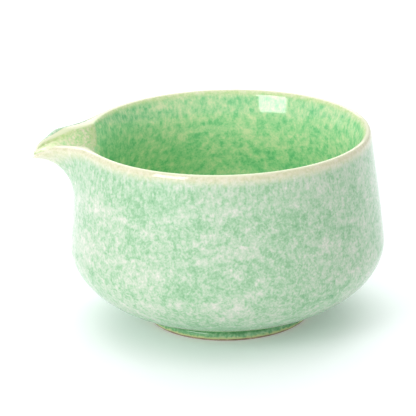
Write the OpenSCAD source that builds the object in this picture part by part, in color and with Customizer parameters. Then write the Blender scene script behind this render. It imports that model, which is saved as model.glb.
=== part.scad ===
// Spouted matcha bowl: a thrown clay body on a low foot ring, with a pouring spout let into the rim,
// and separate coats of glaze inside, outside, over the lip, over the spout, round the foot and under the base.
// The bowl's axis is Z, the foot stands on z = 0, and the spout points along -X. All sizes are in mm.

/* [Bowl] */
// Height of the lip's crest above the table
bowl_h = 74.2; // [71:0.2:78]
// Widest diameter, over the glaze
belly_d = 122; // [116:1:130]
// Height of the widest point
belly_z = 30; // [28:0.5:33]
// Diameter over the glaze where the lip starts to round
mouth_d = 112.4; // [108:0.2:116]
// Thickness of the glazed wall where the lip starts to round
lip_t = 3.6; // [3.2:0.1:4.2]
// Height over which the lip rounds off
lip_rise = 2.2; // [1.8:0.1:2.6]
// Thickness of the glazed wall at the belly
belly_t = 5.5; // [4.6:0.1:6.4]
// How much thicker the wall is between the belly and the lip, where it flares towards the mouth
flare = 3.4; // [2:0.1:4]
// Height of the floor inside, over the glaze
floor_z = 9.2; // [8:0.1:11]
// How quickly the wall draws in from the belly to the mouth: 1 is a straight cone
taper = 1.12; // [1:0.02:1.6]

/* [Foot] */
// Height of the foot ring under its seat on the body
foot_h = 4.8; // [4.4:0.1:5.4]
// Diameter of the foot at its widest, over the glaze
foot_d = 65; // [62:0.5:67]
// Diameter of the hollow under the foot
recess_d = 51; // [46:0.5:54]
// Height of bare clay between the glaze and the table
bare_h = 0.7; // [0.4:0.1:1]

/* [Spout] */
// How far the underside of the spout's tip stands out from the wall
spout_reach = 17.4; // [15:0.2:20]
// How much further the channel runs out inside the lip
channel_reach = 19.7; // [17:0.1:22]
// Half angle at which the spout's outside has fallen to half its reach
spout_half = 12.2; // [11.4:0.1:13]
// Half angle at which the channel has fallen to half its reach
channel_half = 9.2; // [8:0.1:9.6]
// Half angle of the piece of rim that the spout is let into
root_half = 36; // [32:1:40]
// How far the spout's clay goes down the wall, below the lip
root_drop = 27; // [24:1:30]
// How far the channel goes down the inside, below the lip
channel_drop = 16; // [13:1:19]
// How far the spout's sides dip below the lip
side_drop = 1.9; // [1:0.1:2.4]
// How much further its tip dips
tip_drop = 5.8; // [4:0.1:7]

/* [Glaze] */
// Thickness of the glaze on the walls
glaze_t = 0.5; // [0.4:0.05:0.6]
// Thickness of the glaze where it pools on the floor
pool_t = 0.9; // [0.6:0.05:1.2]
// Depth of the lip's own band of glaze, outside
band_out = 4; // [3:0.5:6]
// Depth of the lip's own band of glaze, inside
band_in = 3; // [2:0.5:5]

/* [Hidden] */
belly_r = belly_d / 2;
mouth_r = mouth_d / 2;
foot_r = foot_d / 2;
recess_r = recess_d / 2;
lip_z = bowl_h - lip_rise;
// The lower body outside is a quarter of an ellipse whose centre stands off the axis
turn_r = 11;
turn_z = 1.7;
// The body inside is another, over a small flat floor
well_r = 8;
well_z = belly_z + 2;
// Where the thick part of the wall is: a larger power puts it nearer the lip
flare_power = 1.64;
// Slopes of the wall's two sides where the lip starts, and the rounded crest between them
lean_out = taper * (belly_r - mouth_r) / (lip_z - belly_z);
lean_in = (flare * PI * flare_power - taper * (belly_r - belly_t - mouth_r + lip_t)) / (lip_z - well_z);
crest_half = (lip_t - lip_rise * (lean_out + lean_in)) / 2;
crest_r = mouth_r - lip_rise * lean_out - crest_half;
// Angle on the lower ellipse where the foot's glaze ends, up from its lowest point
foot_edge = 28;
// Heights where the spout's clay and its channel leave the wall
root_z = bowl_h - root_drop;
channel_z = bowl_h - channel_drop;
// Side station, out of side_steps, where the channel's side meets the inside wall in a crease
crease_step = 7;
side_steps = 12;
angle_power = 1.4;
crease_half = spout_angle(crease_step);
// How the spout grows up the wall, and how its sides fall away from its centre line
swell_power = 2.2;
side_power = 3.8;
drop_power = 3.7;
drop_half = 10.1;
channel_lift = 1.5;
// Radius of the spout's own edge, and the half angle over which it widens into the lip
edge_r = 1.6;
edge_half = 26;
// Rows of points up the spout's outside, over its lip, and down its inside
out_rows = 9;
lip_rows = 5;
channel_rows = 7;
under_rows = 2;
last_row = out_rows + lip_rows + channel_rows + under_rows;
last_side = 2 * side_steps;
wall_steps = 10;
turn_steps = 12;
$fn = 96;

// Outside radius of the upper wall at height z, inset by the glaze where d is its thickness
function wall_out(z, d) =
    belly_r - (belly_r - mouth_r) * pow((z - belly_z) / (lip_z - belly_z), taper) - d;

// Inside radius of the upper wall at height z, let out by d
function wall_in(z, d) =
    let (u = (z - well_z) / (lip_z - well_z))
    belly_r - belly_t - (belly_r - belly_t - mouth_r + lip_t) * pow(u, taper)
    - flare * sin(180 * pow(u, flare_power)) + d;

// A point on the lower body outside, at angle a up from the ellipse's lowest point
function turn_out(a, d) =
    [turn_r + (belly_r - turn_r - d) * sin(a), belly_z - (belly_z - turn_z - d) * cos(a)];

// A point on the inside below the belly, d into the wall and e into the floor
function turn_in(a, d, e) =
    [well_r + (belly_r - belly_t - well_r + d) * sin(a), well_z - (well_z - floor_z + e) * cos(a)];

// Outlines from bottom to top, between the given angles or heights
function turn_out_line(a0, a1, d) =
    [for (k = [0 : turn_steps]) turn_out(a0 + (a1 - a0) * k / turn_steps, d)];
function turn_in_line(d, e) =
    [for (k = [0 : turn_steps]) turn_in(90 * k / turn_steps, d, e)];
function wall_out_line(z0, z1, d) =
    [for (k = [0 : wall_steps]) let (z = z0 + (z1 - z0) * k / wall_steps) [wall_out(z, d), z]];
function wall_in_line(z0, z1, d) =
    [for (k = [0 : wall_steps]) let (z = z0 + (z1 - z0) * k / wall_steps) [wall_in(z, d), z]];

// How far the crest leans out at angle b over it, so that it meets both sides of the wall smoothly
function crest_lean(b) = (b < 90 ? lean_out : -lean_in) * (1 - sin(b));

// The lip's rounded crest, from its outer side to its inner, inset by d
function crest_line(d) =
    [for (b = [15 : 15 : 165])
        [crest_r + (crest_half - d) * cos(b) + lip_rise * crest_lean(b), lip_z + (lip_rise - d) * sin(b)]];

function backwards(line) = [for (k = [len(line) - 1 : -1 : 0]) line[k]];

// Where the clay's outside reaches the seat of the foot
seat_angle = acos((belly_z - foot_h) / (belly_z - turn_z - glaze_t));

function unit(v) = v / norm(v);

// Angle of side station j from the spout's centre line, closer together in the middle
function spout_angle(j) = root_half * sign(j) * pow(abs(j) / side_steps, angle_power);

// Fall-off from the spout's centre line: 1 in the middle, and 0 at the root
function fall(a, half) = 1 / (1 + pow(abs(a) / half, side_power));
function side_share(a, half, root) = max(0, (fall(a, half) - fall(root, half)) / (1 - fall(root, half)));
function drop(a, tip) =
    tip * max(0, 1 - pow(abs(a) / drop_half, 2)) + side_drop * side_share(a, spout_half, root_half);

// How much of the plain lip's shape the edge has at angle a, and the height where it starts to round
function lip_share(a) = 1 - side_share(a, edge_half, root_half);
function edge_z(a) = bowl_h - edge_r - (lip_rise - edge_r) * lip_share(a);

// Radius and height on the spout's outside, u from 0 at the root to 1 at the edge
function spout_out(u, a) =
    let (z = root_z + u * (edge_z(a) - root_z))
    [wall_out(z, 0) + spout_reach * pow(u, swell_power) * side_share(a, spout_half, root_half),
     z - pow(u, drop_power) * drop(a, tip_drop)];

// Radius and height on the channel, v from 0 at its foot to 1 at the edge
function spout_in(v, a) =
    let (z = channel_z + v * (edge_z(a) - channel_z))
    [wall_in(z, 0) + channel_reach * v * side_share(a, channel_half, crease_half),
     z - pow(v, drop_power) * drop(a, tip_drop - channel_lift)];

// A point on the rounded edge between them, at angle b over it
function spout_edge(b, a) =
    let (outer = spout_out(1, a))
    let (inner = spout_in(1, a))
    let (half = norm(outer - inner) / 2)
    let (out = unit(outer - inner))
    let (up = [-out[1], out[0]])
    let (share = lip_share(a))
    let (rise = lip_rise * share + min(half, edge_r) * (1 - share))
    let (lean = rise * share)
    (outer + inner) / 2 + up * rise * sin(b)
    + out * ((half - lean * (lean_out + lean_in) / 2) * cos(b)
             + lean * (crest_lean(b) + (lean_in - lean_out) / 2));

// A point below the channel, on the plain inside wall
function under_channel(v) =
    let (z = channel_z - v * (channel_z - root_z))
    [wall_in(z, 0), z];

function spout_outline(i, a) =
    i <= out_rows ? spout_out(i / out_rows, a)
    : i < out_rows + lip_rows ? spout_edge(180 * (i - out_rows) / lip_rows, a)
    : i <= out_rows + lip_rows + channel_rows
        ? spout_in(1 - (i - out_rows - lip_rows) / channel_rows, a)
    : under_channel((i - out_rows - lip_rows - channel_rows) / under_rows);

function placed(p, a) = [-p[0] * cos(a), p[0] * sin(a), p[1]];

// The spout's glazed surface, as rows of points
glazed = [for (i = [0 : last_row]) [for (j = [-side_steps : side_steps])
    let (a = spout_angle(j)) placed(spout_outline(i, a), a)]];

// The way out of the surface at a point. At the two ends it stays in the end's own plane, and at the
// bottom rows it stays level, so that the spout meets the cut faces of the wall.
function way_out(i, j) =
    let (i0 = max(i - 1, 0))
    let (i1 = min(i + 1, last_row))
    let (j0 = max(j - 1, 0))
    let (j1 = min(j + 1, last_side))
    let (up = glazed[i1][j] - glazed[i0][j])
    let (a = spout_angle(j - side_steps))
    let (side = [sin(a), cos(a), 0])
    let (outwards = [-cos(a), sin(a), 0])
    i == 0 ? outwards
    : i == last_row ? -outwards
    : j == 0 || j == last_side ? unit(cross(up, side))
    : unit(cross(up, glazed[i][j1] - glazed[i][j0]));

// The clay under it
bare = [for (i = [0 : last_row]) [for (j = [0 : last_side]) glazed[i][j] - glaze_t * way_out(i, j)]];

across = last_side + 1;

// Two triangles on four points, seen anticlockwise from outside
function quad(a, b, c, d) = [[a, c, b], [a, d, c]];
function sheet(start, flip) =
    [for (i = [0 : last_row - 1]) for (j = [0 : last_side - 1])
        let (a = start + i * across + j)
        let (b = a + across)
        each flip ? quad(a, a + 1, b + 1, b) : quad(a, b, b + 1, a + 1)];
function flat(rows) = [for (row = rows) each row];

module revolved(line) {
    rotate_extrude() polygon(line);
}

// The piece of rim that the spout takes the place of
module rim_gap() {
    far = belly_r + 20;
    translate([0, 0, root_z])
        linear_extrude(height = bowl_h)
            polygon([[0, 0],
                     far * [-cos(root_half), sin(root_half)],
                     [-far / cos(root_half), 0],
                     far * [-cos(root_half), -sin(root_half)]]);
}

// Thrown wall and floor in one piece, with a gap cut in the rim for the spout
module bowl_body() {
    color("#d9c9ae")
        difference() {
            revolved(concat([[0, foot_h]],
                            turn_out_line(seat_angle, 90, glaze_t),
                            wall_out_line(belly_z, lip_z, glaze_t),
                            crest_line(glaze_t),
                            backwards(wall_in_line(well_z, lip_z, glaze_t)),
                            backwards(turn_in_line(glaze_t, pool_t)),
                            [[0, floor_z - pool_t]]));
            rim_gap();
        }
}

// Foot ring luted to the underside, bare where it stands
module foot_ring() {
    color("#b98f63")
        revolved([[recess_r + 1.4, 0], [foot_r - 1.1, 0], [foot_r - 0.7, 0.3], [foot_r - 0.55, bare_h],
                  [foot_r - 1.05, 2.6], [foot_r - 1.9, foot_h],
                  [recess_r, foot_h], [recess_r + 0.5, 1], [recess_r + 0.8, 0.4]]);
}

// Spout of pressed clay with a length of rim on each side of it
module pouring_spout() {
    color("#d9c9ae")
        polyhedron(points = flat(bare),
                   faces = concat(sheet(0, false), end_faces(0, true), end_faces(last_side, false),
                                  [for (j = [0 : last_side - 1])
                                      each quad(j, j + 1, last_row * across + j + 1, last_row * across + j)]),
                   convexity = 6);
}

// Flat end of the spout's clay, as one face inside its outline
function end_faces(j, flip) =
    let (loop = [for (i = [0 : last_row]) i * across + j])
    [flip ? loop : backwards(loop)];

// Poured coat over the whole inside, thicker on the floor
module liner_glaze() {
    color("#6fcf86")
        difference() {
            revolved(concat([[0, floor_z - pool_t]],
                            turn_in_line(glaze_t, pool_t),
                            wall_in_line(well_z, lip_z - band_in, glaze_t),
                            backwards(wall_in_line(well_z, lip_z - band_in, 0)),
                            backwards(turn_in_line(0, 0)),
                            [[0, floor_z]]));
            rim_gap();
        }
}

// Outside coat, from the foot's edge to the lip's band
module outer_glaze() {
    color("#a5dcb4")
        difference() {
            revolved(concat(turn_out_line(foot_edge, 90, 0),
                            wall_out_line(belly_z, lip_z - band_out, 0),
                            backwards(wall_out_line(belly_z, lip_z - band_out, glaze_t)),
                            backwards(turn_out_line(foot_edge, 90, glaze_t))));
            rim_gap();
        }
}

// Thin, pale coat where the glaze breaks over the lip
module rim_glaze() {
    color("#e6e8c8")
        difference() {
            revolved(concat(wall_out_line(lip_z - band_out, lip_z, 0),
                            crest_line(0),
                            backwards(wall_in_line(lip_z - band_in, lip_z, 0)),
                            wall_in_line(lip_z - band_in, lip_z, glaze_t),
                            backwards(crest_line(glaze_t)),
                            backwards(wall_out_line(lip_z - band_out, lip_z, glaze_t))));
            rim_gap();
        }
}

// Coat over the spout, down to the same cut lines
module spout_glaze() {
    under = (last_row + 1) * across;
    foot_strip = [for (j = [0 : last_side - 1]) each quad(j, j + 1, under + j + 1, under + j)];
    top = last_row * across;
    head_strip = [for (j = [0 : last_side - 1])
        each quad(under + top + j, under + top + j + 1, top + j + 1, top + j)];
    near_strip = [for (i = [0 : last_row - 1]) let (a = i * across)
        each quad(a, under + a, under + a + across, a + across)];
    far_strip = [for (i = [0 : last_row - 1]) let (a = i * across + last_side)
        each quad(a, a + across, under + a + across, under + a)];
    color("#cfe6c0")
        polyhedron(points = concat(flat(glazed), flat(bare)),
                   faces = concat(sheet(0, false), sheet(under, true),
                                  foot_strip, head_strip, near_strip, far_strip),
                   convexity = 8);
}

// Glaze that has run down and pooled round the foot
module foot_glaze() {
    color("#5fb487")
        revolved(concat([[foot_r - 0.55, bare_h], [foot_r - 0.12, bare_h + 0.1], [foot_r, bare_h + 0.6],
                         [foot_r - 0.15, 1.9], [foot_r - 0.7, 3.1], [foot_r - 1.15, 3.9]],
                        turn_out_line(seat_angle + 0.5, foot_edge, 0),
                        backwards(turn_out_line(seat_angle, foot_edge, glaze_t)),
                        [[foot_r - 1.9, foot_h], [foot_r - 1.05, 2.6]]));
}

// Glaze in the hollow under the base, a little way down the inside of the foot
module base_glaze() {
    color("#9fd6ae")
        revolved([[0, foot_h], [recess_r, foot_h], [recess_r + 0.2, 3.2], [recess_r - 0.15, 3.6],
                  [recess_r - 0.7, 4.2], [recess_r - 1.6, 4.4], [0, 4.4]]);
}

bowl_body();
foot_ring();
pouring_spout();
liner_glaze();
outer_glaze();
rim_glaze();
spout_glaze();
foot_glaze();
base_glaze();
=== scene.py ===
import math

import bmesh
import bpy
from mathutils import Matrix, Vector, noise


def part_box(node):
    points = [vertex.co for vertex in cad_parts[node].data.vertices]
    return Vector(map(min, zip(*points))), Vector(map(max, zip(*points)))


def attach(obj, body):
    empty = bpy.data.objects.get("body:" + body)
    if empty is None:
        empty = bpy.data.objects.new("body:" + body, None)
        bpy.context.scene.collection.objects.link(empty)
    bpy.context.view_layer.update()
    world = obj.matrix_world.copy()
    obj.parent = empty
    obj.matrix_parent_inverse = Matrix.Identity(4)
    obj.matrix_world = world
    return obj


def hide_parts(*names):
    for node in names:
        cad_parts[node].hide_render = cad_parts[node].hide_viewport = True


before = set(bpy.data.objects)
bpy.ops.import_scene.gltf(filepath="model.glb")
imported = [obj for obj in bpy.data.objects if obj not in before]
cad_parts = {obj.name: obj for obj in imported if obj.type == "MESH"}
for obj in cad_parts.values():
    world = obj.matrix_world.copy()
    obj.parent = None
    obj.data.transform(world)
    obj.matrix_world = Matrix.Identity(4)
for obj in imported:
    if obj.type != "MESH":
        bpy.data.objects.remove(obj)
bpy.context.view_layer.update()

mm = 0.001

# Camera: a long lens nearly a metre off, looking down by about 20 degrees and tilted a touch to one side.
# The bowl's spout points to the left.
view_down = math.radians(19.75)
view_tilt = math.radians(-1.29)
view_distance = 897 * mm
camera = bpy.data.objects.new("camera", bpy.data.cameras.new("camera"))
camera.data.lens = 200
camera.data.sensor_width = 36
camera.data.shift_x = -0.046
camera.data.shift_y = 0.0436
bowl_middle = Vector((0, 0, 35 * mm))
camera.location = bowl_middle + view_distance * Vector((0, -math.cos(view_down), math.sin(view_down)))
camera.rotation_euler = (Matrix.Rotation(math.pi / 2 - view_down, 3, "X")
                         @ Matrix.Rotation(view_tilt, 3, "Z")).to_euler()
bpy.context.scene.collection.objects.link(camera)
bpy.context.scene.camera = camera


# Thrown bowl and pressed spout: buff stoneware, biscuit fired, joined while leather hard.
# Glaze covers them all over, so their clay only shows where a coat is taken away.
def linear(hex_colour):
    """An sRGB hex colour as linear light, with alpha."""
    shares = [int(hex_colour[n:n + 2], 16) / 255 for n in (1, 3, 5)]
    return tuple(c / 12.92 if c <= 0.04045 else ((c + 0.055) / 1.055) ** 2.4 for c in shares) + (1,)


def add(material, kind, values=None, stops=(), **settings):
    """Adds a node: settings are its own, values are set on or linked to its sockets, stops fill a ramp."""
    made = material.node_tree.nodes.new(kind)
    for setting, value in settings.items():
        setattr(made, setting, value)
    for socket, value in (values or {}).items():
        if isinstance(value, bpy.types.NodeSocket):
            material.node_tree.links.new(value, made.inputs[socket])
        else:
            made.inputs[socket].default_value = value
    for n, (place, hex_colour) in enumerate(stops):
        marks = made.color_ramp.elements
        mark = marks[n] if n < 2 else marks.new(place)
        mark.position = place
        mark.color = linear(hex_colour)
    return made


def new_material(name):
    made = bpy.data.materials.new(name)
    made.use_nodes = True
    made.node_tree.nodes.clear()
    return made


def fired_clay(name, dark, mid, pale):
    """Stoneware without glaze: matt and dry, with sand-sized grog in a clay that is darker in patches."""
    grog = 0.5 * mm
    patch = 6 * mm
    clay = new_material(name)
    place = add(clay, "ShaderNodeTexCoord").outputs["Object"]
    grains = add(clay, "ShaderNodeTexNoise", {"Vector": place, "Scale": 1 / grog, "Detail": 3.0})
    patches = add(clay, "ShaderNodeTexNoise", {"Vector": place, "Scale": 1 / patch, "Detail": 3.0})
    both = add(clay, "ShaderNodeMix", {0: 0.45, 2: grains.outputs["Fac"], 3: patches.outputs["Fac"]})
    colour = add(clay, "ShaderNodeValToRGB", {"Fac": both.outputs[0]},
                 stops=((0.36, dark), (0.5, mid), (0.64, pale)))
    rough = add(clay, "ShaderNodeMapRange",
                {"Value": grains.outputs["Fac"], "To Min": 0.72, "To Max": 0.95})
    bump = add(clay, "ShaderNodeBump", {"Height": grains.outputs["Fac"], "Strength": 0.5,
                                        "Distance": 0.06 * mm})
    skin = add(clay, "ShaderNodeBsdfPrincipled",
               {"Base Color": colour.outputs["Color"], "Roughness": rough.outputs["Result"], "IOR": 1.5,
                "Specular IOR Level": 0.35, "Normal": bump.outputs["Normal"]})
    add(clay, "ShaderNodeOutputMaterial", {"Surface": skin.outputs["BSDF"]})
    return clay


buff_biscuit = fired_clay("buff_biscuit_stoneware", "#C9B48F", "#D9C9AE", "#E6DAC3")
for name in ("bowl_body", "pouring_spout"):
    cad_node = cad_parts[name]
    cad_node.data.materials.clear()
    cad_node.data.materials.append(buff_biscuit)


# Foot ring: a coil of the same clay luted under the bowl and turned true on the wheel.
# It stands on bare clay, fired to a warm brown where the kiln's flame reached it.
foot_r = 32.5 * mm
recess_r = 25.5 * mm
foot_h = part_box("foot_ring")[1].z
bare_h = 0.7 * mm


def revolved(outline, steps, closed):
    """A bmesh of the outline, a list of (radius, height), spun right round the bowl's axis."""
    made = bmesh.new()
    points = [made.verts.new((r, 0, z)) for r, z in outline]
    pairs = zip(points, points[1:] + points[:1] if closed else points[1:])
    edges = [made.edges.new(pair) for pair in pairs]
    bmesh.ops.spin(made, geom=points + edges, cent=(0, 0, 0), axis=(0, 0, 1), dvec=(0, 0, 0),
                   angle=2 * math.pi, steps=steps, use_merge=True, use_normal_flip=False,
                   use_duplicate=False)
    bmesh.ops.remove_doubles(made, verts=made.verts, dist=0.001 * mm)
    bmesh.ops.recalc_face_normals(made, faces=made.faces)
    return made


def finished(made, name, material, sharp=40):
    """A smooth piece from a bmesh, creased at edges over sharp degrees, riding on the bowl's one body."""
    mesh = bpy.data.meshes.new(name)
    made.to_mesh(mesh)
    made.free()
    mesh.materials.append(material)
    mesh.shade_smooth()
    mesh.set_sharp_from_angle(angle=math.radians(sharp))
    piece = bpy.data.objects.new(name, mesh)
    bpy.context.scene.collection.objects.link(piece)
    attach(piece, "root")
    return piece


ring_outline = [(recess_r + 1.4 * mm, 0), (foot_r - 1.1 * mm, 0), (foot_r - 0.7 * mm, 0.3 * mm),
                (foot_r - 0.55 * mm, bare_h), (foot_r - 1.05 * mm, 2.6 * mm), (foot_r - 1.9 * mm, foot_h),
                (recess_r, foot_h), (recess_r + 0.5 * mm, 1 * mm), (recess_r + 0.8 * mm, 0.4 * mm)]
ring = revolved(ring_outline, steps=240, closed=True)
trimming_length = 9 * mm
trimming_width = 1.5 * mm
trimming_depth = 0.05 * mm
ring_middle = (foot_r + recess_r) / 2
for vert in ring.verts:
    x, y, z = vert.co
    across = Vector((x, y, 0)).normalized()
    trimmed = noise.noise(Vector((x / trimming_length, y / trimming_length, z / trimming_width)))
    if 0.1 * mm < z < 4 * mm:
        outwards = across if across.dot(vert.co) > ring_middle else -across
        vert.co -= outwards * trimming_depth * (1 + trimmed)
turned_clay = fired_clay("turned_foot_stoneware", "#857160", "#A38C76", "#BCA88F")
foot_ring = finished(ring, "foot_ring_clay", turned_clay, sharp=50)
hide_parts("foot_ring")


# The glaze is one skin over the bowl and its spout, poured inside and dipped outside.
# It is made whole first, then parted into the coats that meet at the lip, the spout and the foot.
bowl_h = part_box("rim_glaze")[1].z
belly_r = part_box("outer_glaze")[1].x

# Outside, the wall turns up from the base to its belly and leans in to the mouth. Inside, it rises from a
# flat well, swells, and flares out to the lip. The crest is the lip's rounded top.
belly_z = 30 * mm
mouth_r = 56.2 * mm
lip_t = 3.6 * mm
lip_rise = 2.2 * mm
belly_t = 5.5 * mm
flare = 3.4 * mm
flare_power = 1.64
floor_z = 9.2 * mm
taper = 1.12
turn_r = 11 * mm
turn_z = 1.7 * mm
well_r = 8 * mm
well_z = belly_z + 2 * mm
lip_z = bowl_h - lip_rise
glaze_t = 0.45 * mm
clay_in = 0.5 * mm
lean_out = taper * (belly_r - mouth_r) / (lip_z - belly_z)
lean_in = ((flare * math.pi * flare_power - taper * (belly_r - belly_t - mouth_r + lip_t))
           / (lip_z - well_z))
crest_half = (lip_t - lip_rise * (lean_out + lean_in)) / 2
crest_r = mouth_r - lip_rise * lean_out - crest_half

# Degrees round the turn to the end of the foot's coat, and to where the clay sits on the foot ring
foot_edge_angle = 28
seat_angle = math.degrees(math.acos((belly_z - foot_h) / (belly_z - turn_z - clay_in)))

# The spout: halves are in degrees to each side of its centre line, and powers are how sharply it curves
spout_reach = 17.4 * mm
channel_reach = 19.7 * mm
spout_half = 12.2
channel_half = 9.2
root_half = 36
crease_half = 16.93
root_z = bowl_h - 27 * mm
channel_z = bowl_h - 16 * mm
side_drop = 1.9 * mm
tip_drop = 5.8 * mm
drop_half = 10.1
channel_lift = 1.5 * mm
edge_r = 1.6 * mm
edge_half = 26
swell_power = 2.2
side_power = 3.8
drop_power = 3.7


def wall_out(z):
    return belly_r - (belly_r - mouth_r) * ((z - belly_z) / (lip_z - belly_z)) ** taper


def wall_in(z):
    up = (z - well_z) / (lip_z - well_z)
    inner_r = belly_r - belly_t
    bulge = flare * math.sin(math.pi * up ** flare_power)
    return inner_r - (inner_r - mouth_r + lip_t) * up ** taper - bulge


def outer_wall(z):
    return wall_out(z), z


def inner_wall(z):
    return wall_in(z), z


def turn_out(angle):
    a = math.radians(angle)
    return turn_r + (belly_r - turn_r) * math.sin(a), belly_z - (belly_z - turn_z) * math.cos(a)


def turn_in(angle):
    a = math.radians(angle)
    return well_r + (belly_r - belly_t - well_r) * math.sin(a), well_z - (well_z - floor_z) * math.cos(a)


def crest_lean(b):
    return (lean_out if b < 90 else -lean_in) * (1 - math.sin(math.radians(b)))


def crest(b):
    """A point on the lip, b degrees over it from outside to inside."""
    return (crest_r + crest_half * math.cos(math.radians(b)) + lip_rise * crest_lean(b),
            lip_z + lip_rise * math.sin(math.radians(b)))


def row_between(shape, start, end, rows):
    """Points on a shape from start to end, without the last."""
    return [shape(start + (end - start) * n / rows) for n in range(rows)]


def eased(points, steps):
    """Points on a smooth line through the given ones, without the last."""
    ends = [points[0]] + points + [points[-1]]
    line = []
    for a, b, c, d in zip(ends, ends[1:], ends[2:], ends[3:]):
        for n in range(steps):
            t = n / steps
            line.append(tuple((2 * q + (r - p) * t + (2 * p - 5 * q + 4 * r - s) * t ** 2
                               + (3 * q - p - 3 * r + s) * t ** 3) / 2
                              for p, q, r, s in zip(a, b, c, d)))
    return line


# The lip's own band reaches this far down the wall, outside and inside
band_out = 4 * mm
band_in = 3 * mm
roll_end = seat_angle + 0.5
foot_roll = [(foot_r - 0.55 * mm, bare_h), (foot_r - 0.12 * mm, bare_h + 0.1 * mm),
             (foot_r, bare_h + 0.6 * mm), (foot_r - 0.05 * mm, 1.9 * mm), (foot_r - 0.3 * mm, 3.1 * mm),
             (foot_r - 0.9 * mm, 3.9 * mm), turn_out(roll_end)]
stretches = {
    "foot": eased(foot_roll, 3) + row_between(turn_out, roll_end, foot_edge_angle, 6),
    "lower": row_between(turn_out, foot_edge_angle, 90, 48) + row_between(outer_wall, belly_z, root_z, 18),
    "upper": row_between(outer_wall, root_z, lip_z - band_out, 30),
    "band": (row_between(outer_wall, lip_z - band_out, lip_z, 7) + row_between(crest, 0, 180, 20)
             + row_between(inner_wall, lip_z, lip_z - band_in, 5)),
    "inside": row_between(inner_wall, lip_z - band_in, root_z, 30),
    "deep": (row_between(inner_wall, root_z, well_z, 18) + row_between(turn_in, 90, 0, 48)
             + row_between(lambda r: (r, floor_z), well_r, 0, 8) + [(0, floor_z)]),
}

# How far each point is along the outline from the lip's top: outside above nothing, and inside below it
outline = [point for points in stretches.values() for point in points]
along = [0]
for here, there in zip(outline, outline[1:]):
    along.append(along[-1] + math.dist(here, there))
starts = {}
for name, points in stretches.items():
    starts[name] = sum(len(stretches[other]) for other in starts)
top = max(range(len(outline)), key=lambda n: outline[n][1])
from_lip = [along[top] - s for s in along]
parting = {name: from_lip[start] for name, start in starts.items()}

skin = bmesh.new()
lip_layer = skin.verts.layers.float.new("from_lip")
start_turn = Matrix.Rotation(math.radians(180 - root_half), 3, "Z")
row = []
for (r, z), run in zip(outline, from_lip):
    point = skin.verts.new(start_turn @ Vector((r, 0, z)))
    point[lip_layer] = run
    row.append(point)
last = row + [skin.edges.new(pair) for pair in zip(row, row[1:])]
for turn, steps in ((2 * root_half, 144), (360 - 2 * root_half, 192)):
    last = bmesh.ops.spin(skin, geom=last, cent=(0, 0, 0), axis=(0, 0, 1), dvec=(0, 0, 0),
                          angle=math.radians(turn), steps=steps, use_merge=False,
                          use_normal_flip=False, use_duplicate=False)["geom_last"]
bmesh.ops.remove_doubles(skin, verts=skin.verts, dist=0.002 * mm)


def fall(a, half):
    """How much of a pull is felt a degrees from the spout's centre line: all of it there, half at half."""
    return 1 / (1 + (abs(a) / half) ** side_power)


def side_share(a, half, root):
    """The same, but brought down to nothing at the root."""
    return max(0, (fall(a, half) - fall(root, half)) / (1 - fall(root, half)))


def drop(a, tip):
    """How far the spout's edge dips."""
    return tip * max(0, 1 - (a / drop_half) ** 2) + side_drop * side_share(a, spout_half, root_half)


def lip_share(a):
    """How far the spout's edge keeps the plain lip's shape: not at all at its tip, fully at its root."""
    return 1 - side_share(a, edge_half, root_half)


def edge_z(a):
    """Height at which the spout's edge starts to round over, before it dips."""
    return bowl_h - edge_r - (lip_rise - edge_r) * lip_share(a)


def spout_out(u, a):
    """A point on the spout's outside, u of the way up from its root."""
    z = root_z + u * (edge_z(a) - root_z)
    return Vector((wall_out(z) + spout_reach * u ** swell_power * side_share(a, spout_half, root_half),
                   z - u ** drop_power * drop(a, tip_drop)))


def spout_in(v, a):
    """A point on the spout's inside, v of the way up from the foot of its channel."""
    z = channel_z + v * (edge_z(a) - channel_z)
    return Vector((wall_in(z) + channel_reach * v * side_share(a, channel_half, crease_half),
                   z - v ** drop_power * drop(a, tip_drop - channel_lift)))


def spout_edge(b, a):
    """A point on the spout's edge, b degrees over it from outside to inside."""
    outer, inner = spout_out(1, a), spout_in(1, a)
    half = (outer - inner).length / 2
    out = (outer - inner).normalized()
    up = Vector((-out.y, out.x))
    share = lip_share(a)
    rise = lip_rise * share + min(half, edge_r) * (1 - share)
    lean = rise * share
    across = ((half - lean * (lean_out + lean_in) / 2) * math.cos(math.radians(b))
              + lean * (crest_lean(b) + (lean_in - lean_out) / 2))
    return (outer + inner) / 2 + up * rise * math.sin(math.radians(b)) + out * across


def pulled(r, z, a, outside):
    """Where a point of the plain skin goes when the spout is pulled out."""
    if z > lip_z:
        b = math.degrees(math.asin(min(1, (z - lip_z) / lip_rise)))
        return spout_edge(b if outside else 180 - b, a)
    if outside:
        return spout_out((z - root_z) / (lip_z - root_z), a)
    if z > channel_z:
        return spout_in((z - channel_z) / (lip_z - channel_z), a)
    return Vector((r, z))


def spout_angle(co):
    """Degrees round from the spout's centre line."""
    return math.degrees(math.atan2(co.y, -co.x))


for vert in skin.verts:
    a = spout_angle(vert.co)
    if abs(a) < root_half - 0.01 and vert.co.z > root_z + 0.01 * mm:
        r, z = pulled(math.hypot(vert.co.x, vert.co.y), vert.co.z, a, vert[lip_layer] > 0)
        vert.co = (-r * math.cos(math.radians(a)), r * math.sin(math.radians(a)), z)
bmesh.ops.recalc_face_normals(skin, faces=skin.faces)
skin.normal_update()
if max(skin.verts, key=lambda vert: vert.co.x).normal.x < 0:
    bmesh.ops.reverse_faces(skin, faces=skin.faces)
    skin.normal_update()


def clamped(value):
    return min(1, max(0, value))


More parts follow.
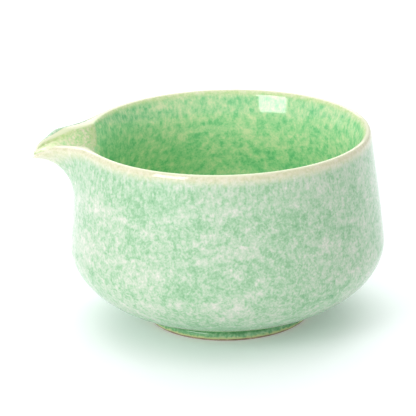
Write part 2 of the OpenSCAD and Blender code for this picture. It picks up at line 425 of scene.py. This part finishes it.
# How far it is along the glaze to where it thins, over the lip and over the crease on each side of the
# spout's channel: inside it is less than nothing. Over the channel it is thin all over, and towards its tip
# it is brought nearer still, a painted highlight paled to cream. The spout's near side is paled the same
# way, partly thin glaze and partly a painted highlight along its edge, and on the spout's far side the
# outside glaze stays thick right up to an edge that lies further in.
thin_layer = skin.verts.layers.float.new("to_thin")
edge_layer = skin.verts.layers.float.new("to_edge")
channel_layer = skin.verts.layers.float.new("in_channel")
channel_fade = 7 * mm
under_channel = 30 * mm
least_narrowing = 1.2
more_narrowing = 5.5
tip_start = 58 * mm
tip_length = 9 * mm
tip_highlight_paling = 0.8
near_thinning_and_highlight = 0.6
far_thickening = 6 * mm
edge_out = 0.1 * mm
far_edge_in = 1.1 * mm
flank_half = 1.3 * spout_half
for vert in skin.verts:
    run = vert[lip_layer]
    a = abs(spout_angle(vert.co))
    r = math.hypot(vert.co.x, vert.co.y)
    up = clamped((vert.co.z - channel_z) / channel_fade)
    narrowing = least_narrowing + more_narrowing * clamped((lip_z - vert.co.z) / (lip_z - channel_z))
    to_crease = math.radians(abs(a - crease_half + narrowing)) * r
    towards_tip_highlight = clamped((r - tip_start) / tip_length)
    by_side = side_share(a, flank_half, root_half)
    near_side = by_side if vert.co.y < 0 else 0
    far_side = min(1, 2 * by_side) if vert.co.y > 0 else 0
    if run < 0:
        to_either = min(-run, 2 * to_crease + (1 - up) * under_channel)
        # Painted highlight: towards the tip the channel is paled toward cream
        vert[thin_layer] = -to_either * (1 - tip_highlight_paling * towards_tip_highlight)
        vert[channel_layer] = up * clamped(crease_half - narrowing - a)
    else:
        # Partly thin glaze, partly painted highlight: the spout's near side is paled toward cream
        vert[thin_layer] = run * (1 - near_thinning_and_highlight * near_side) + far_thickening * far_side
    vert[edge_layer] = run - edge_out + far_edge_in * far_side

# The thrower's fingers leave faint rings and flats, and the glaze hangs in a wavering hem at the foot.
# The lip is left as it was wiped, without rings.
ring_gap = 7 * mm
flat_gap = 32 * mm
hand_depth = 0.12 * mm
least_depth = 0.03 * mm
wiped = 4 * mm
hem_top = 2.2 * mm
hem_wave = 5 * mm
hem_lift = 0.45 * mm
for vert, normal in [(vert, vert.normal.copy()) for vert in skin.verts]:
    x, y, z = vert.co
    rings = noise.noise(Vector((x / flat_gap, y / flat_gap, z / ring_gap)))
    off_lip = min(1, abs(vert[lip_layer]) / wiped)
    if z > foot_h:
        vert.co -= normal * (hand_depth * (1 + rings) / 2 * off_lip + least_depth)
    elif vert[lip_layer] > 0 and z < hem_top:
        waver = 0.5 + 0.5 * noise.noise(Vector((x / hem_wave, y / hem_wave, 7)))
        vert.co.z += hem_lift * waver * (hem_top - z) / (hem_top - bare_h)
skin.normal_update()
smooth_layer = skin.verts.layers.float_vector.new("smooth")
for vert in skin.verts:
    vert[smooth_layer] = vert.normal


def coat(name, wanted, material, replaced):
    """A coat cut from the skin: wanted picks its faces by way from the lip and whether by the spout."""
    made = skin.copy()
    lip = made.verts.layers.float["from_lip"]
    others = [face for face in made.faces
              if not wanted(sum(vert[lip] for vert in face.verts) / len(face.verts),
                            abs(spout_angle(face.calc_center_median())) < root_half)]
    bmesh.ops.delete(made, geom=others, context="FACES")
    bmesh.ops.solidify(made, geom=made.faces, thickness=glaze_t)
    mesh = bpy.data.meshes.new(name)
    made.to_mesh(mesh)
    made.free()
    mesh.shade_smooth()
    mesh.materials.append(material)
    # The skin's own normals carry the shine over the lines where coats meet, but not over a cut edge
    cut_edge = 0.6
    whole = [value.vector.copy() for value in mesh.attributes["smooth"].data]
    corners = []
    for polygon in mesh.polygons:
        facing = polygon.normal.dot(whole[polygon.vertices[0]])
        for vertex in polygon.vertices:
            if abs(facing) < cut_edge:
                corners.append(polygon.normal)
            else:
                corners.append(whole[vertex] * (1 if facing > 0 else -1))
    mesh.normals_split_custom_set(corners)
    mesh.attributes.remove(mesh.attributes["smooth"])
    piece = bpy.data.objects.new(name, mesh)
    bpy.context.scene.collection.objects.link(piece)
    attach(piece, "root")
    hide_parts(replaced)
    return piece


def lip_line(made, outer, inner):
    """The outside colour gives way to the inside one over the lip, with a pale line along its edge: thin
    glaze, partly a painted highlight.
    """
    from_lip = add(made, "ShaderNodeAttribute", attribute_name="from_lip").outputs["Fac"]
    within = add(made, "ShaderNodeMapRange", {"Value": from_lip, "From Min": -0.2 * mm,
                                              "From Max": -1.4 * mm, "To Min": 0.0, "To Max": 1.0})
    both = add(made, "ShaderNodeMix", {0: within.outputs["Result"], 6: outer, 7: inner}, data_type="RGBA")
    to_edge = add(made, "ShaderNodeAttribute", attribute_name="to_edge").outputs["Fac"]
    from_edge = add(made, "ShaderNodeMath", {0: to_edge}, operation="ABSOLUTE")
    edge = add(made, "ShaderNodeMapRange", {"Value": from_edge.outputs[0], "From Min": 0.3 * mm,
                                            "From Max": 1.2 * mm, "To Min": 1.0, "To Max": 0.0},
               interpolation_type="SMOOTHSTEP")
    # Pale line along the edge: partly thin glaze, partly a painted highlight
    return add(made, "ShaderNodeMix", {0: edge.outputs["Result"], 6: both.outputs[2],
                                       7: linear("#DFE2C2")}, data_type="RGBA").outputs[2]


def pooled_over(made, colour, height, fine, clumps, blotches):
    """The colour gone deep and glassy where glaze pools round the foot, over a frayed yellow green hem."""
    waver = add(made, "ShaderNodeMath", {0: blotches, 1: 3 * mm, 2: height}, operation="MULTIPLY_ADD")
    depth = add(made, "ShaderNodeMapRange", {"Value": waver.outputs[0], "From Min": 4.6 * mm,
                                             "From Max": 7.2 * mm, "To Min": 1.0, "To Max": 0.0},
                interpolation_type="SMOOTHSTEP")
    pool = add(made, "ShaderNodeValToRGB", {"Fac": fine},
               stops=((0.38, "#5E9E66"), (0.5, "#74B178"), (0.62, "#98C693")))
    deep = add(made, "ShaderNodeMix", {0: depth.outputs["Result"], 6: colour,
                                       7: pool.outputs["Color"]}, data_type="RGBA")
    frayed = add(made, "ShaderNodeMath", {0: clumps, 1: -2.4 * mm, 2: height}, operation="MULTIPLY_ADD")
    hem = add(made, "ShaderNodeMapRange", {"Value": frayed.outputs[0], "From Min": 0.0,
                                           "From Max": 0.9 * mm, "To Min": 1.0, "To Max": 0.0},
              interpolation_type="SMOOTHSTEP")
    return add(made, "ShaderNodeMix", {0: hem.outputs["Result"], 6: deep.outputs[2],
                                       7: linear("#C9D093")}, data_type="RGBA").outputs[2]


def glaze(name, outside=None, inside=None, channel=None, foot_pool=False):
    """Crystalline green glaze: glossy, mottled where crystals grew, cream where it thins over the lip."""
    speck = 0.8 * mm
    streak = 1.2 * mm
    clump = 2.2 * mm
    crystal = 2.8 * mm
    blotch = 7 * mm
    cloud = 30 * mm
    made = new_material(name)

    # Crystals hang a little, broad patches lie in bands, and glaze runs in streaks near the lip
    place = add(made, "ShaderNodeTexCoord").outputs["Object"]
    hung = add(made, "ShaderNodeMapping", {"Vector": place, "Scale": (1, 1, 0.92)}).outputs["Vector"]
    laid = add(made, "ShaderNodeMapping", {"Vector": place, "Scale": (1, 1, 2.1)}).outputs["Vector"]
    run = add(made, "ShaderNodeMapping", {"Vector": place, "Scale": (1, 1, 0.4)}).outputs["Vector"]
    specks = add(made, "ShaderNodeTexNoise", {"Vector": hung, "Scale": 1 / speck, "Detail": 2.0,
                                              "Roughness": 0.6}).outputs["Fac"]
    clumps = add(made, "ShaderNodeTexNoise", {"Vector": hung, "Scale": 1 / clump, "Detail": 4.0,
                                              "Roughness": 0.62, "Distortion": 0.5}).outputs["Fac"]
    blotches = add(made, "ShaderNodeTexNoise", {"Vector": laid, "Scale": 1 / blotch, "Detail": 3.0,
                                                "Roughness": 0.5, "Distortion": 0.4}).outputs["Fac"]
    clouds = add(made, "ShaderNodeTexNoise", {"Vector": laid, "Scale": 1 / cloud,
                                              "Detail": 2.0}).outputs["Fac"]
    streaks = add(made, "ShaderNodeTexNoise", {"Vector": run, "Scale": 1 / streak, "Detail": 3.0,
                                               "Roughness": 0.6}).outputs["Fac"]
    fine = add(made, "ShaderNodeMix", {0: 0.4, 2: clumps, 3: specks}).outputs[0]
    broad = add(made, "ShaderNodeMix", {0: 0.5, 2: blotches, 3: clouds}).outputs[0]
    mottle = add(made, "ShaderNodeMix", {0: 0.38, 2: fine, 3: broad}).outputs[0]
    cell = add(made, "ShaderNodeTexVoronoi", {"Vector": hung, "Scale": 1 / crystal}, feature="SMOOTH_F1")
    cells = add(made, "ShaderNodeMapRange", {"Value": cell.outputs["Distance"], "From Min": 0.1,
                                             "From Max": 0.7, "To Min": 0.35, "To Max": 0.65})

    # It gathers greener low on the wall, darkened further there as painted shade on the downward-facing
    # underside, and is streaked near the lip
    height = add(made, "ShaderNodeSeparateXYZ", {"Vector": place}).outputs["Z"]
    gathered_and_shaded = add(made, "ShaderNodeMapRange", {"Value": height, "From Min": 5 * mm, "From Max": 17 * mm,
                                                "To Min": 0.18, "To Max": 0.0},
                   interpolation_type="SMOOTHSTEP")
    mottle = add(made, "ShaderNodeMath", {0: mottle, 1: gathered_and_shaded.outputs["Result"]}, operation="SUBTRACT")
    to_thin = add(made, "ShaderNodeAttribute", attribute_name="to_thin").outputs["Fac"]
    from_crest = add(made, "ShaderNodeMath", {0: to_thin}, operation="ABSOLUTE").outputs[0]
    near_lip = add(made, "ShaderNodeMapRange", {"Value": from_crest, "From Min": 3 * mm,
                                                "From Max": 18 * mm, "To Min": 0.4, "To Max": 0.0})
    mottle = add(made, "ShaderNodeMix", {0: near_lip.outputs["Result"], 2: mottle.outputs[0],
                                         3: streaks}).outputs[0]

    # Each side's greens break to its creams along an edge as ragged as this, and only the inside's crystals
    # show one by one. The coats that go over the lip are pale along the spout's channel too.
    sides = []
    for colours, ragged_depth, crystals in ((outside, 4 * mm, 0.0), (inside, 2.6 * mm, 0.3)):
        if not colours:
            continue
        greens, creams = colours
        grown = add(made, "ShaderNodeMix", {0: crystals, 2: mottle, 3: cells.outputs["Result"]})
        ground = add(made, "ShaderNodeValToRGB", {"Fac": grown.outputs[0]}, stops=greens).outputs["Color"]
        if channel and colours is inside:
            in_channel = add(made, "ShaderNodeAttribute", attribute_name="in_channel").outputs["Fac"]
            share = add(made, "ShaderNodeMath", {0: in_channel, 1: 0.85}, operation="MULTIPLY")
            pale = add(made, "ShaderNodeValToRGB", {"Fac": fine}, stops=channel)
            ground = add(made, "ShaderNodeMix", {0: share.outputs[0], 6: ground,
                                                 7: pale.outputs["Color"]}, data_type="RGBA").outputs[2]
        ragged = add(made, "ShaderNodeMath", {0: streaks, 1: ragged_depth, 2: from_crest},
                     operation="MULTIPLY_ADD")
        breaking = add(made, "ShaderNodeMapRange",
                       {"Value": ragged.outputs[0], "From Min": 0.9 * ragged_depth,
                        "From Max": 1.9 * ragged_depth, "To Min": 1.0, "To Max": 0.0},
                       interpolation_type="SMOOTHSTEP")
        thin = add(made, "ShaderNodeValToRGB", {"Fac": fine}, stops=creams)
        sides.append(add(made, "ShaderNodeMix", {0: breaking.outputs["Result"], 6: ground,
                                                 7: thin.outputs["Color"]}, data_type="RGBA").outputs[2])
    colour = lip_line(made, *sides) if outside and inside else sides[0]
    if foot_pool:
        colour = pooled_over(made, colour, height, fine, clumps, blotches)
    rough = add(made, "ShaderNodeMapRange", {"Value": fine, "From Min": 0.35, "From Max": 0.65,
                                             "To Min": 0.04, "To Max": 0.1})
    bump = add(made, "ShaderNodeBump", {"Height": clumps, "Strength": 0.15, "Distance": 0.05 * mm})
    surface = add(made, "ShaderNodeBsdfPrincipled",
                  {"Base Color": colour, "Roughness": rough.outputs["Result"], "IOR": 1.62,
                   "Normal": bump.outputs["Normal"]})
    add(made, "ShaderNodeOutputMaterial", {"Surface": surface.outputs["BSDF"]})
    return made


# Foot glaze: the outside coat runs down as it melts and pools round the foot, dark and glassy.
# It stops just short of the table in a rounded hem.
mint_greens = ((0.34, "#64A673"), (0.41, "#85B388"), (0.47, "#9ABF9A"), (0.53, "#B5C8AF"),
               (0.60, "#CED0C3"), (0.66, "#DBD6CE"))
lip_creams = ((0.38, "#CACAA4"), (0.5, "#D6D3B5"), (0.62, "#DFD9C4"))
outside_colours = (mint_greens, lip_creams)
pooled = glaze("pooled_foot_glaze", outside=outside_colours, foot_pool=True)
coat("foot_glaze_coat",
     lambda run, by_spout: run > parting["lower"],
     pooled, "foot_glaze")


# Outer glaze: the coat the bowl was dipped in, from the foot up to the lip's band and the spout's root.
# It is pale mint with cream crystals, which grew as the kiln cooled.
mint = glaze("mint_crystalline_glaze", outside=outside_colours)
coat("outer_glaze_coat",
     lambda run, by_spout: (parting["upper"] if by_spout else parting["band"]) < run < parting["lower"],
     mint, "outer_glaze")


# Rim glaze: the band where the outside and inside coats meet over the lip.
# They run off it while they melt, so that what is left is thin and breaks to cream.
inside_greens = ((0.41, "#74C68A"), (0.475, "#98D79C"), (0.525, "#BCE1AC"), (0.59, "#E2EABE"))
lip_yellows = ((0.38, "#BCD796"), (0.5, "#CFDDA6"), (0.62, "#DFE2C0"))
channel_creams = ((0.37, "#9CCC90"), (0.46, "#C4DCA2"), (0.54, "#E2DDBC"), (0.63, "#F6E4D6"))
inside_colours = (inside_greens, lip_yellows)
cream = glaze("lip_cream_glaze", outside=outside_colours, inside=inside_colours, channel=channel_creams)
coat("rim_glaze_coat",
     lambda run, by_spout: parting["inside"] < run < parting["band"] and not by_spout,
     cream, "rim_glaze")


# Liner glaze: the coat over the inside wall and floor, poured in, swilled round and poured out.
# It lies thicker than the outside coat, so it is a clearer green.
liner = glaze("poured_liner_glaze", inside=inside_colours)
coat("liner_glaze_coat",
     lambda run, by_spout: run < (parting["deep"] if by_spout else parting["inside"]),
     liner, "liner_glaze")


# Spout glaze: the same two coats over the spout's outside, its edge and its channel, from root to root.
# The channel is thin and pale, because the inside coat was poured out over it; near the tip it is paled
# further, a painted highlight.
spout_coat = glaze("spout_glaze", outside=outside_colours, inside=inside_colours, channel=channel_creams)
coat("spout_glaze_coat",
     lambda run, by_spout: by_spout and parting["deep"] < run < parting["upper"],
     spout_coat, "spout_glaze")


# Base glaze: what the outside coat left in the hollow under the bowl, inside the foot ring.
# It lies a little unevenly, and laps a little way down the inside of the ring.
hollow_z = 4.4 * mm
base_outline = [(0, foot_h), (recess_r, foot_h), (recess_r + 0.2 * mm, 3.2 * mm),
                (recess_r - 0.15 * mm, 3.6 * mm), (recess_r - 0.7 * mm, 4.2 * mm),
                (recess_r - 1.6 * mm, hollow_z)]
base_outline += row_between(lambda r: (r, hollow_z), recess_r - 3 * mm, 0, 16) + [(0, hollow_z)]
base = revolved(base_outline, steps=144, closed=False)
dimple_depth = 0.1 * mm
dimple_width = 6 * mm
far_from_lip = base.verts.layers.float.new("to_thin")
for vert in base.verts:
    vert[far_from_lip] = belly_r
    if hollow_z - 0.1 * mm < vert.co.z < foot_h - 0.05 * mm:
        vert.co.z += dimple_depth * (1 + noise.noise(vert.co / dimple_width))
base_coat = finished(base, "base_glaze_coat", mint)
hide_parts("base_glaze")


# Studio: a big soft light low at the left, broad ones behind and overhead, and pale walls all round.
# The bowl stands on matt white card, which glows a little of its own so that shadows on it stay pale.
floor_reach = 4
floor_gap = 0.02 * mm
floor = bpy.data.meshes.new("studio_floor")
floor_shape = bmesh.new()
bmesh.ops.create_circle(floor_shape, cap_ends=True, segments=64, radius=floor_reach)
bmesh.ops.translate(floor_shape, verts=floor_shape.verts, vec=(0, 0, -floor_gap))
floor_shape.to_mesh(floor)
floor_shape.free()
white_card = new_material("white_card")
paper = add(white_card, "ShaderNodeBsdfPrincipled",
            {"Base Color": linear("#EFF4F5"), "Roughness": 0.9, "Specular IOR Level": 0.2,
             "Emission Color": (1, 1, 1, 1), "Emission Strength": 0.16})
add(white_card, "ShaderNodeOutputMaterial", {"Surface": paper.outputs["BSDF"]})
floor.materials.append(white_card)
studio_floor = bpy.data.objects.new("studio_floor", floor)
bpy.context.scene.collection.objects.link(studio_floor)


def soft_light(name, bearing, above, distance, width, height, brightness):
    """A softbox: degrees round from the bowl's front towards the left, and degrees above the table."""
    light = bpy.data.lights.new(name, "AREA")
    light.shape = "RECTANGLE"
    light.size = width
    light.size_y = height
    light.energy = brightness * math.pi * width * height
    turn, rise = math.radians(bearing), math.radians(above)
    way = Vector((-math.sin(turn) * math.cos(rise), -math.cos(turn) * math.cos(rise), math.sin(rise)))
    aimed_at = Vector((0, 0, 60 * mm))
    lamp = bpy.data.objects.new(name, light)
    lamp.location = aimed_at + way * distance
    lamp.rotation_euler = way.to_track_quat("Z", "Y").to_euler()
    bpy.context.scene.collection.objects.link(lamp)


soft_light("key_softbox", bearing=44, above=22.8, distance=1.0, width=0.44, height=0.52, brightness=6.5)
soft_light("back_softbox", bearing=180, above=46, distance=1.4, width=1.8, height=1.1, brightness=2.0)
soft_light("overhead_softbox", bearing=0, above=88, distance=1.4, width=1.2, height=1.2, brightness=0.7)

world = bpy.data.worlds.new("pale_studio")
world.use_nodes = True
world.node_tree.nodes["Background"].inputs["Color"].default_value = (1, 1, 1, 1)
world.node_tree.nodes["Background"].inputs["Strength"].default_value = 0.66
bpy.context.scene.world = world
bpy.context.scene.view_settings.view_transform = "Standard"
bpy.context.scene.view_settings.look = "None"
